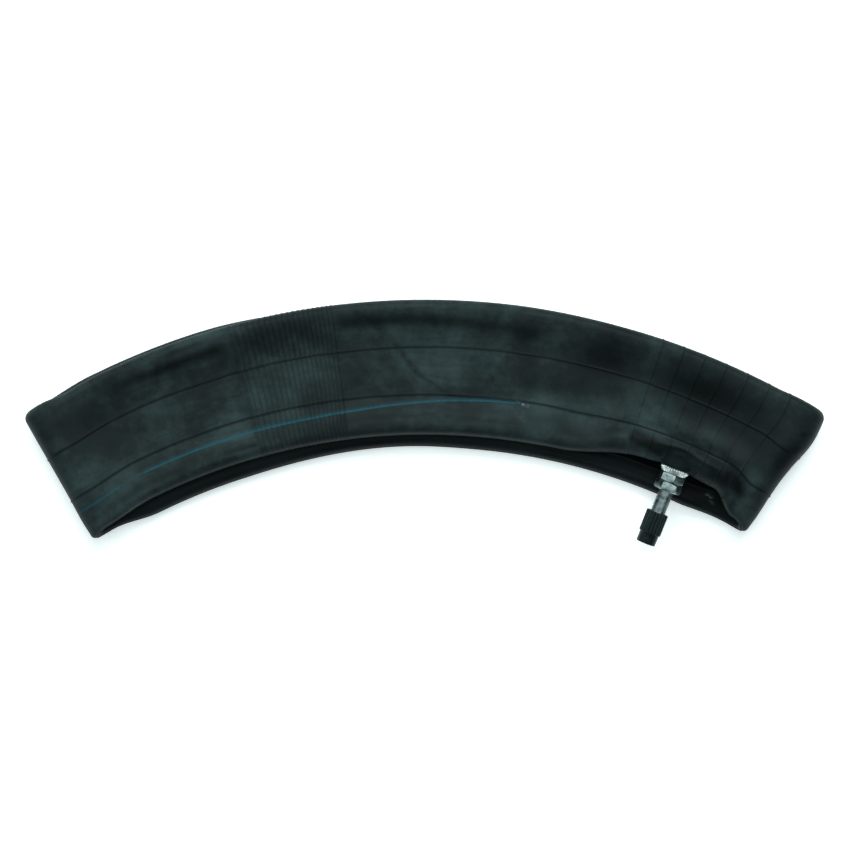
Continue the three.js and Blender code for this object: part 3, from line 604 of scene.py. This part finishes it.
powder = node(tree, "ShaderNodeMath", {"operation": "MULTIPLY"},
              links={0: (talc_at, "Fac"), 1: (broken, "Color")})
powdered = node(tree, "ShaderNodeMix", {"data_type": "RGBA"}, {"B": hex_colour("#6f8484")},
                {"Factor": (powder, "Value"), "A": (striped, "Result")})
tree.links.new(powdered.outputs["Result"], shader.inputs["Base Color"])
shader.inputs["Specular IOR Level"].default_value = 0.1
shader.inputs["Specular Tint"].default_value = (0.8, 1.0, 1.0, 1)
rough = node(tree, "ShaderNodeMapRange", {},
             {"From Min": 0.3, "From Max": 0.8, "To Min": 0.44, "To Max": 0.6},
             {"Value": (both, "Value")})
tree.links.new(rough.outputs["Result"], shader.inputs["Roughness"])
height = node(tree, "ShaderNodeMath", {"operation": "MULTIPLY_ADD"}, {1: 0.25},
              {0: (grain, "Fac"), 2: (mottle, "Fac")})
bumpy = node(tree, "ShaderNodeBump", {}, {"Strength": 0.5, "Distance": 0.00025},
             {"Height": (height, "Value")})
tree.links.new(bumpy.outputs["Normal"], shader.inputs["Normal"])
tube.data.materials.append(rubber)
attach(tube, "tube_and_stem")
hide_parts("tube")

# ---------------------------------------------------------------- the rubber base of the valve
# A round patch of smoother rubber, vulcanised over the tube's inside edge and on to the
# valve's brass foot; thick where the washer grips it and feathered to nothing at its rim.
BASE_RADIUS = 12.2
BASE_THICKNESS = 1.5
BASE_FACE = -1.7
BASE_BOSS = 8.1
BASE_HOLE = 4.65
BASE_LIFT = 0.25
BASE_RINGS, BASE_FACETS = 18, 120

valve_out = cap_axis.normalized()
valve_side = Vector((0, 0, 1)).cross(valve_out).normalized()
valve_top = valve_out.cross(valve_side)
VALVE = Matrix((valve_side, valve_top, valve_out)).transposed().to_4x4()
VALVE.translation = seat


def tube_edge(along, up):
    """The tube's outside beside the valve, in metres; up is measured round its edge, in mm."""
    at = upper_stations(VALVE_ANGLE + np.degrees(along / SEAT_RADIUS))
    turn = up / at["inner_radius"]
    end = HALF_WIDTH + at["extra"] - at["draw_back"] - at["inner_radius"]
    return place(at, -end - at["inner_radius"] * np.cos(turn), at["lift"] + at["inner_radius"] * np.sin(turn))


def tube_edge_normal(along, up):
    step = 0.05
    a = tube_edge(along + step, up) - tube_edge(along - step, up)
    b = tube_edge(along, up + step) - tube_edge(along, up - step)
    normal = np.cross(b, a)
    return normal / np.linalg.norm(normal, axis=-1, keepdims=True)


def moved(matrix, points):
    """Points turned and shifted by a 4 x 4 matrix."""
    m = np.array(matrix)
    return points @ m[:3, :3].T + m[:3, 3]


reach = np.linspace(BASE_HOLE, BASE_RADIUS, BASE_RINGS)[:, None]
turn = np.linspace(0, 2 * math.pi, BASE_FACETS, endpoint=False)[None, :]
along = reach * np.cos(turn)
up = reach * np.sin(turn)
foot = tube_edge(along, up)
foot_normal = tube_edge_normal(along, up)
under = foot + foot_normal * BASE_LIFT * MM
thin = BASE_THICKNESS * (1 - 0.75 * ease(0.72 * BASE_RADIUS, BASE_RADIUS, reach)) + 0 * turn
over = foot + foot_normal * ((BASE_LIFT + thin) * MM)[..., None]
flat_face = moved(VALVE.inverted(), under)
flat_face[..., 2] = BASE_FACE * MM
leave = (ease(BASE_BOSS, BASE_RADIUS * 0.97, reach) + 0 * turn)[..., None]
over = mix(moved(VALVE, flat_face), over, leave)
points = np.concatenate([under, over[::-1]], axis=0)
base = closed_piece("rubber_base", points)
shown_reach = np.concatenate([reach, reach[::-1]], axis=0) + 0 * turn
keep_values(base, "reach", shown_reach)
face_outwards(base)
bpy.ops.object.shade_smooth_by_angle(angle=math.radians(50))

# Smooth vulcanised rubber, darker than the tube, with a pale line at its rim.
base_rubber, tree, shader = new_material("smooth_vulcanised_rubber")
place_on = node(tree, "ShaderNodeTexCoord")
smear = node(tree, "ShaderNodeTexNoise", inputs={"Scale": 120.0, "Detail": 5.0, "Roughness": 0.6},
             links={"Vector": (place_on, "Object")})
tone = ramp(tree, (smear, "Fac"), [(0.35, hex_colour("#060a0b")), (0.7, hex_colour("#0e1516"))])
reach_at = node(tree, "ShaderNodeAttribute", {"attribute_name": "reach"})
rim_share = node(tree, "ShaderNodeMapRange", {},
                 {"From Min": BASE_RADIUS - 0.9, "From Max": BASE_RADIUS - 0.3},
                 {"Value": (reach_at, "Fac")})
rim_line = node(tree, "ShaderNodeMath", {"operation": "MULTIPLY"},
                links={0: (rim_share, "Result"), 1: (smear, "Fac")})
tone_with_rim = node(tree, "ShaderNodeMix", {"data_type": "RGBA"}, {"B": hex_colour("#4a5e61")},
                     {"Factor": (rim_line, "Value"), "A": (tone, "Color")})
tree.links.new(tone_with_rim.outputs["Result"], shader.inputs["Base Color"])
shader.inputs["Specular IOR Level"].default_value = 0.1
shader.inputs["Specular Tint"].default_value = (0.6, 0.97, 1.0, 1)
rough = ramp(tree, (smear, "Fac"), [(0.3, 0.42), (0.7, 0.56)])
tree.links.new(rough.outputs["Color"], shader.inputs["Roughness"])
grain = node(tree, "ShaderNodeTexNoise", inputs={"Scale": 1800.0, "Detail": 3.0},
             links={"Vector": (place_on, "Object")})
bumpy = node(tree, "ShaderNodeBump", {}, {"Strength": 0.25, "Distance": 0.0002}, {"Height": (grain, "Fac")})
tree.links.new(bumpy.outputs["Normal"], shader.inputs["Normal"])
base.data.materials.append(base_rubber)
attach(base, "tube_and_stem")
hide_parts("valve_base")

# ---------------------------------------------------------------- the valve stem
# Turned brass with a dull nickel plate: a foot moulded into the rubber, a thread over its
# whole length and two milled flats, with the core screwed into its bore.
STEM_RADIUS = 3.875
STEM_TIP = 33.2
STEM_FLAT = 3.52
STEM_FLAT_FROM = 1.8
THREAD_PITCH = 0.79375
THREAD_DEPTH = 0.45
THREAD_FROM, THREAD_TO = -7.0, 32.6
STEM_FACETS = 112
STEPS_PER_PITCH = 8

rows = [(1.6, -10.3), (3.2, -10.3), (4.55, -10.3), (4.7, -10.15), (4.7, -9.35), (4.6, -9.2), (3.7, -7.6)]
thread_rows = np.arange(THREAD_FROM, THREAD_TO, THREAD_PITCH / STEPS_PER_PITCH)
rows += [(STEM_RADIUS, t) for t in thread_rows]
rows += [(3.42, STEM_TIP - 0.08), (3.3, STEM_TIP), (2.75, STEM_TIP), (2.66, STEM_TIP - 0.1), (2.66, 30.0),
         (2.66, 27.1), (2.2, 25.0), (2.2, 15.2), (1.6, 14.2), (1.6, 2.0)]
row_radius = np.array([r for r, t in rows])[:, None]
row_place = np.array([t for r, t in rows])[:, None]
turn = np.linspace(0, 2 * math.pi, STEM_FACETS, endpoint=False)[None, :]
threaded = (row_radius == STEM_RADIUS) * (1.0 + 0 * turn)
phase = (row_place / THREAD_PITCH - turn / (2 * math.pi)) % 1
groove = THREAD_DEPTH * np.clip(1.25 * (1 - np.abs(2 * phase - 1) * 1.9), 0, 1)
run_in = ease(THREAD_FROM, THREAD_FROM + 1.5, row_place)
radius = row_radius - threaded * groove * run_in
x = radius * np.cos(turn)
y = radius * np.sin(turn)
y = np.where((row_place >= STEM_FLAT_FROM) & (row_radius > 3.28), np.clip(y, -STEM_FLAT, STEM_FLAT), y)
points = np.stack([x, y, row_place + 0 * turn], axis=-1) * MM
stem = closed_piece("valve_stem_body", moved(VALVE, points))
face_outwards(stem)
bpy.ops.object.shade_smooth_by_angle(angle=math.radians(32))


def plated(name, dark, light, low, high, brush):
    """Plated metal with soft stains, uneven roughness and fine tool marks round the valve."""
    material, tree, shader = new_material(name)
    place_on = node(tree, "ShaderNodeTexCoord")
    turned_to = node(tree, "ShaderNodeMapping", {"vector_type": "TEXTURE"}, {
        "Location": seat, "Rotation": VALVE.to_euler()}, {"Vector": (place_on, "Object")})
    stains = node(tree, "ShaderNodeTexNoise", inputs={"Scale": 420.0, "Detail": 5.0, "Roughness": 0.55,
                  "Distortion": 0.3}, links={"Vector": (turned_to, "Vector")})
    colour = ramp(tree, (stains, "Fac"), [(0.34, dark), (0.6, light)])
    tree.links.new(colour.outputs["Color"], shader.inputs["Base Color"])
    shader.inputs["Metallic"].default_value = 1.0
    stretched = node(tree, "ShaderNodeMapping", {}, {"Scale": (300.0, 300.0, brush)},
                     {"Vector": (turned_to, "Vector")})
    marks = node(tree, "ShaderNodeTexNoise", inputs={"Scale": 1.0, "Detail": 3.0, "Roughness": 0.6},
                 links={"Vector": (stretched, "Vector")})
    rough = node(tree, "ShaderNodeMapRange", {},
                 {"From Min": 0.3, "From Max": 0.7, "To Min": low, "To Max": high},
                 {"Value": (stains, "Fac")})
    tree.links.new(rough.outputs["Result"], shader.inputs["Roughness"])
    bumpy = node(tree, "ShaderNodeBump", {}, {"Strength": 0.2, "Distance": 0.00008},
                 {"Height": (marks, "Fac")})
    tree.links.new(bumpy.outputs["Normal"], shader.inputs["Normal"])
    return material


# Dull nickel plate with soft grey stains.
nickel = plated("dull_nickel_plate", hex_colour("#526264"), hex_colour("#8fa0a1"), 0.26, 0.38, 4000.0)
stem.data.materials.append(nickel)
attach(stem, "tube_and_stem")
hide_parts("valve_stem")

# ---------------------------------------------------------------- the bridge washer
# A pressed steel cup, zinc plated, with a ring of small teeth on its rim that bite the
# rubber base; the clamp nut holds it there.
WASHER_TEETH = 36
NUT_BORE = 3.955


def turned(name, profile, facets):
    """A ring turned from a closed (radius, distance) profile in mm, along the valve's axis."""
    bpy.ops.object.select_all(action="DESELECT")
    r0, z0 = profile[0]
    bpy.ops.mesh.primitive_circle_add(vertices=facets, radius=r0 * MM, location=(0, 0, z0 * MM))
    bpy.ops.object.transform_apply(location=True)
    piece = bpy.context.object
    piece.name = name
    piece.data.name = name
    bpy.ops.object.mode_set(mode="EDIT")
    bpy.ops.mesh.select_all(action="SELECT")
    for r, z in profile[1:] + profile[:1]:
        bpy.ops.mesh.extrude_region_move(TRANSFORM_OT_translate={"value": (0, 0, (z - z0) * MM)})
        bpy.ops.transform.resize(value=(r / r0, r / r0, 1), center_override=(0, 0, z * MM))
        r0, z0 = r, z
    bpy.ops.mesh.select_all(action="SELECT")
    bpy.ops.mesh.remove_doubles(threshold=0.000001)
    bpy.ops.mesh.normals_make_consistent(inside=False)
    bpy.ops.object.mode_set(mode="OBJECT")
    return piece


def reshape(piece, change):
    """Moves every point of a piece's mesh: change takes and gives (x, y, z) rows in mm."""
    count = len(piece.data.vertices)
    co = np.empty(count * 3)
    piece.data.vertices.foreach_get("co", co)
    co = change(co.reshape(-1, 3) / MM) * MM
    piece.data.vertices.foreach_set("co", co.reshape(-1))
    piece.data.update()


def on_valve(piece, angle=30):
    """Puts a piece made round the Z axis on the valve and shades it."""
    piece.data.transform(VALVE)
    piece.data.update()
    bpy.ops.object.select_all(action="DESELECT")
    piece.select_set(True)
    bpy.context.view_layer.objects.active = piece
    bpy.ops.object.shade_smooth_by_angle(angle=math.radians(angle))


washer = turned("toothed_bridge_washer", [
    (NUT_BORE, 0.62), (4.1, 0.5), (5.25, 0.5), (5.5, 0.3), (6.5, -1.5), (7.45, -1.5), (7.7, -1.3),
    (7.7, -0.75),
    (7.55, -0.6), (6.62, 1.2), (6.45, 1.46), (6.15, 1.6), (4.15, 1.6), (NUT_BORE, 1.45)], 216)


def washer_teeth(co):
    r = np.hypot(co[:, 0], co[:, 1])
    angle = np.arctan2(co[:, 1], co[:, 0])
    wave = np.abs((angle * WASHER_TEETH / (2 * math.pi)) % 1 * 2 - 1)
    rim = ease(6.9, 7.3, r)
    lean = 1 - 0.34 * rim * wave / 7.7
    back = (co[:, 2] < -1.2) * rim * wave * 0.45
    return np.stack([co[:, 0] * lean, co[:, 1] * lean, co[:, 2] + back], axis=1)


reshape(washer, washer_teeth)
on_valve(washer, 24)
# Bright zinc plate with a blue passivated tint.
zinc = plated("bright_zinc_plate", hex_colour("#c6d4d4"), hex_colour("#dce9e9"), 0.28, 0.38, 600.0)
washer.data.materials.append(zinc)
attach(washer, "tube_and_stem")
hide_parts("bridge_washer")

# ---------------------------------------------------------------- the two nuts
# Hexagonal steel nuts, zinc plated and handled: the thin clamp nut holds the washer down,
# and the rim nut in front of it is for the outside of the wheel rim.
NUT_CHAMFER = 0.7


def hexagon_nut(name, flats, start, end, turn_deg, chamfer_back):
    """A chamfered hexagonal nut with a plain round bore, on the valve's axis."""
    corner = flats / math.sqrt(3)
    wide = corner + 0.1
    back = NUT_CHAMFER if chamfer_back else 0.02
    nut = turned(name, [
        (NUT_BORE, start + 0.4), (NUT_BORE + 0.35, start),
        (flats / 2 - (0.05 if chamfer_back else 0.4), start),
        (wide if chamfer_back else wide - 0.02, start + back), (wide, end - NUT_CHAMFER),
        (flats / 2 - 0.05, end),
        (NUT_BORE + 0.35, end), (NUT_BORE, end - 0.4)], 90)
    bpy.ops.object.select_all(action="DESELECT")
    bpy.ops.mesh.primitive_cylinder_add(
        vertices=6, radius=corner * MM, depth=(end - start + 2) * MM, location=(0, 0, (start + end) / 2 * MM),
        rotation=(0, 0, math.radians(turn_deg + 30)))
    prism = bpy.context.object
    bpy.context.view_layer.objects.active = nut
    cut = nut.modifiers.new("six_sides", "BOOLEAN")
    cut.operation = "INTERSECT"
    cut.object = prism
    bpy.ops.object.modifier_apply(modifier=cut.name)
    bpy.data.objects.remove(prism)
    soften = nut.modifiers.new("worn_edges", "BEVEL")
    soften.width = 0.11 * MM
    soften.segments = 2
    soften.limit_method = "ANGLE"
    soften.angle_limit = math.radians(24)
    bpy.ops.object.modifier_apply(modifier=soften.name)
    on_valve(nut, 28)
    return nut


clamp_nut = hexagon_nut("clamp_nut_body_piece", 12.0, 1.9, 6.0, 20, False)
rim_nut = hexagon_nut("rim_nut_body_piece", 12.6, 6.3, 10.8, 0, True)
# Zinc plate dulled by handling, with darker stains.
dull_zinc = plated("handled_zinc_plate", hex_colour("#667879"), hex_colour("#93a5a6"), 0.24, 0.38, 900.0)
for nut, body, cad in ((clamp_nut, "clamp_nut_body", "clamp_nut"), (rim_nut, "rim_nut_body", "rim_nut")):
    nut.data.materials.append(dull_zinc)
    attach(nut, body)
    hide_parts(cad)

# ---------------------------------------------------------------- the valve cap
# Moulded black plastic: a skirt with straight ribs to grip, a smooth narrower tip, and a
# bore that screws over the stem and holds a rubber gasket.
CAP_RIBS = 24
cap = turned("screw_cap", [
    (4.15, 22.7), (5.3, 22.7), (5.6, 22.85), (5.7, 23.1), (5.7, 26.0), (5.7, 30.0), (5.7, 33.7),
    (5.62, 33.92),
    (5.4, 34.0), (5.12, 34.05), (5.05, 34.2), (4.98, 37.0), (4.95, 39.2), (4.84, 39.55), (4.5, 39.7),
    (2.2, 39.7), (0.02, 39.66), (0.02, 38.2), (3.0, 38.2), (3.0, 35.1), (3.965, 35.1), (3.965, 23.0)], 240)


def cap_ribs(co):
    r = np.hypot(co[:, 0], co[:, 1])
    angle = np.arctan2(co[:, 1], co[:, 0])
    wave = 0.5 - 0.5 * np.cos(angle * CAP_RIBS)
    skirt = ease(5.15, 5.6, r) * (1 - ease(33.85, 34.0, co[:, 2]))
    scale = 1 - 0.3 * skirt * wave ** 0.7 / 5.7
    return np.stack([co[:, 0] * scale, co[:, 1] * scale, co[:, 2]], axis=1)


reshape(cap, cap_ribs)
on_valve(cap, 35)
# Moulded black plastic, faintly scuffed.
plastic, tree, shader = new_material("moulded_black_plastic")
place_on = node(tree, "ShaderNodeTexCoord")
scuff = node(tree, "ShaderNodeTexNoise", inputs={"Scale": 420.0, "Detail": 5.0, "Roughness": 0.65},
             links={"Vector": (place_on, "Object")})
tone = ramp(tree, (scuff, "Fac"), [(0.4, hex_colour("#070b0c")), (0.72, hex_colour("#111819"))])
tree.links.new(tone.outputs["Color"], shader.inputs["Base Color"])
shader.inputs["Specular IOR Level"].default_value = 0.2
shader.inputs["Specular Tint"].default_value = (0.6, 0.97, 1.0, 1)
rough = ramp(tree, (scuff, "Fac"), [(0.3, 0.34), (0.7, 0.5)])
tree.links.new(rough.outputs["Color"], shader.inputs["Roughness"])
grain = node(tree, "ShaderNodeTexNoise", inputs={"Scale": 3200.0, "Detail": 2.0},
             links={"Vector": (place_on, "Object")})
bumpy = node(tree, "ShaderNodeBump", {}, {"Strength": 0.25, "Distance": 0.0001}, {"Height": (grain, "Fac")})
tree.links.new(bumpy.outputs["Normal"], shader.inputs["Normal"])
cap.data.materials.append(plastic)
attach(cap, "cap_body")
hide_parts("valve_cap")

# ---------------------------------------------------------------- the core and the gasket
# The valve core, screwed into the stem's bore, and the cap's gasket keep their own shapes,
# apart from the spring, which is wound anew here as a coil. The core is turned brass
# with a red tapered seal, a wire spring and black rubber seals.


def small_part_material(name, dark, light, metal, low, high, scale):
    """A small part's finish: mottled colour, uneven roughness and fine turning marks."""
    material, tree, shader = new_material(name)
    place_on = node(tree, "ShaderNodeTexCoord")
    turned_to = node(tree, "ShaderNodeMapping", {"vector_type": "TEXTURE"}, {
        "Location": seat, "Rotation": VALVE.to_euler()}, {"Vector": (place_on, "Object")})
    spots = node(tree, "ShaderNodeTexNoise", inputs={"Scale": 900.0, "Detail": 4.0},
                 links={"Vector": (turned_to, "Vector")})
    colour = ramp(tree, (spots, "Fac"), [(0.35, dark), (0.65, light)])
    tree.links.new(colour.outputs["Color"], shader.inputs["Base Color"])
    shader.inputs["Metallic"].default_value = metal
    rough = node(tree, "ShaderNodeMapRange", {},
                 {"From Min": 0.3, "From Max": 0.7, "To Min": low, "To Max": high},
                 {"Value": (spots, "Fac")})
    tree.links.new(rough.outputs["Result"], shader.inputs["Roughness"])
    marks = node(tree, "ShaderNodeTexWave", {"bands_direction": "Z"}, {"Scale": scale, "Distortion": 0.6},
                 {"Vector": (turned_to, "Vector")})
    bumpy = node(tree, "ShaderNodeBump", {}, {"Strength": 0.15, "Distance": 0.00004},
                 {"Height": (marks, "Fac")})
    tree.links.new(bumpy.outputs["Normal"], shader.inputs["Normal"])
    return material


# Turned brass.
brass = small_part_material("turned_brass", hex_colour("#9a7a34"), hex_colour("#d9b866"), 1.0, 0.24,
                            0.4, 1300.0)
# Red plastic seal of the core.
red_seal = small_part_material("red_core_seal", hex_colour("#75160f"), hex_colour("#9c2317"), 0.0, 0.3,
                               0.45, 500.0)
# Black seal rubber.
seal_rubber = small_part_material("black_seal_rubber", hex_colour("#0f1314"), hex_colour("#1d2323"),
                                  0.0, 0.5, 0.7, 400.0)
# Drawn spring wire.
wire = small_part_material("drawn_spring_wire", hex_colour("#7d8384"), hex_colour("#b9bfbf"), 1.0, 0.28,
                           0.42, 900.0)
SPRING_RADIUS, SPRING_WIRE, SPRING_COILS = 1.02, 0.16, 6
SPRING_FROM, SPRING_TO = 21.72, 26.08
bpy.ops.object.select_all(action="DESELECT")
bpy.ops.mesh.primitive_circle_add(
    vertices=12, radius=SPRING_WIRE * MM, location=(SPRING_RADIUS * MM, 0, SPRING_FROM * MM),
    rotation=(math.pi / 2, 0, 0))
spring = bpy.context.object
bpy.ops.object.transform_apply(location=True, rotation=True)
spring.name = "wound_core_spring"
spring.data.name = "wound_core_spring"
wind = spring.modifiers.new("wind", "SCREW")
wind.axis = "Z"
wind.angle = 2 * math.pi
wind.iterations = SPRING_COILS
wind.steps = wind.render_steps = 24
wind.screw_offset = (SPRING_TO - SPRING_FROM) / SPRING_COILS * MM
bpy.ops.object.modifier_apply(modifier=wind.name)
bpy.ops.object.mode_set(mode="EDIT")
bpy.ops.mesh.select_all(action="SELECT")
bpy.ops.mesh.remove_doubles(threshold=0.000001)
bpy.ops.mesh.select_all(action="SELECT")
bpy.ops.mesh.fill_holes(sides=0)
bpy.ops.mesh.select_all(action="SELECT")
bpy.ops.mesh.normals_make_consistent(inside=False)
bpy.ops.object.mode_set(mode="OBJECT")
on_valve(spring, 40)
spring.data.materials.append(wire)
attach(spring, "core_barrel_body")
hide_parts("core_spring")
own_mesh(spring)

for cad, material in (
    ("core_plug", brass), ("core_barrel", brass), ("core_pin", brass), ("poppet_cup", brass),
    ("spring_seat", brass),
    ("barrel_seal", red_seal), ("poppet_seal", seal_rubber), ("cap_gasket", seal_rubber),
):
    part = frame["nodes"][cad]
    if not part.material_slots:
        part.data.materials.append(None)
    for each in part.material_slots:
        each.material = material

# ---------------------------------------------------------------- camera, floor and light
VIEW_WIDTH = 433.7 * MM
CAMERA_DISTANCE = 1.5
LOOK = Vector((0.0007, -0.0009, 0.016))
bpy.ops.object.camera_add(location=LOOK + Vector((0, 0, CAMERA_DISTANCE)), rotation=(0, 0, 0))
camera = bpy.context.object
camera.data.sensor_width = 36
camera.data.lens = 36 * CAMERA_DISTANCE / VIEW_WIDTH
bpy.context.scene.camera = camera

bpy.ops.mesh.primitive_plane_add(size=6, location=(0, 0, -0.0002))
floor = bpy.context.object
floor.name = "floor"
paper, tree, shader = new_material("white_paper")
shader.inputs["Base Color"].default_value = (0.84, 0.9, 0.9, 1)
shader.inputs["Emission Color"].default_value = (0.9, 1.0, 1.0, 1)
shader.inputs["Emission Strength"].default_value = 0.45
shader.inputs["Roughness"].default_value = 0.9
shader.inputs["Specular IOR Level"].default_value = 0.1
floor.data.materials.append(paper)


def soft_light(name, place, size, power, colour):
    bpy.ops.object.light_add(type="AREA", location=place)
    light = bpy.context.object
    light.name = name
    light.data.shape = "RECTANGLE"
    light.data.size, light.data.size_y = size
    light.data.energy = power
    light.data.color = colour
    light.rotation_euler = (Vector((0, 0, 0)) - Vector(place)).to_track_quat("-Z", "Y").to_euler()


soft_light("back_softbox", (0.1, 1.1, 1.15), (1.7, 0.7), 26, (0.97, 1.0, 1.0))
soft_light("overhead_softbox", (0.0, 0.25, 1.75), (1.6, 1.6), 11, (0.97, 1.0, 1.0))
soft_light("side_fill", (-1.2, 0.2, 1.0), (0.9, 0.9), 4, (0.97, 1.0, 1.0))
world = bpy.data.worlds.new("studio")
bpy.context.scene.world = world
world.use_nodes = True
world.node_tree.nodes["Background"].inputs["Color"].default_value = (0.97, 1.0, 1.0, 1)
world.node_tree.nodes["Background"].inputs["Strength"].default_value = 0.24
bpy.context.scene.view_settings.view_transform = "Standard"
bpy.context.scene.view_settings.look = "None"
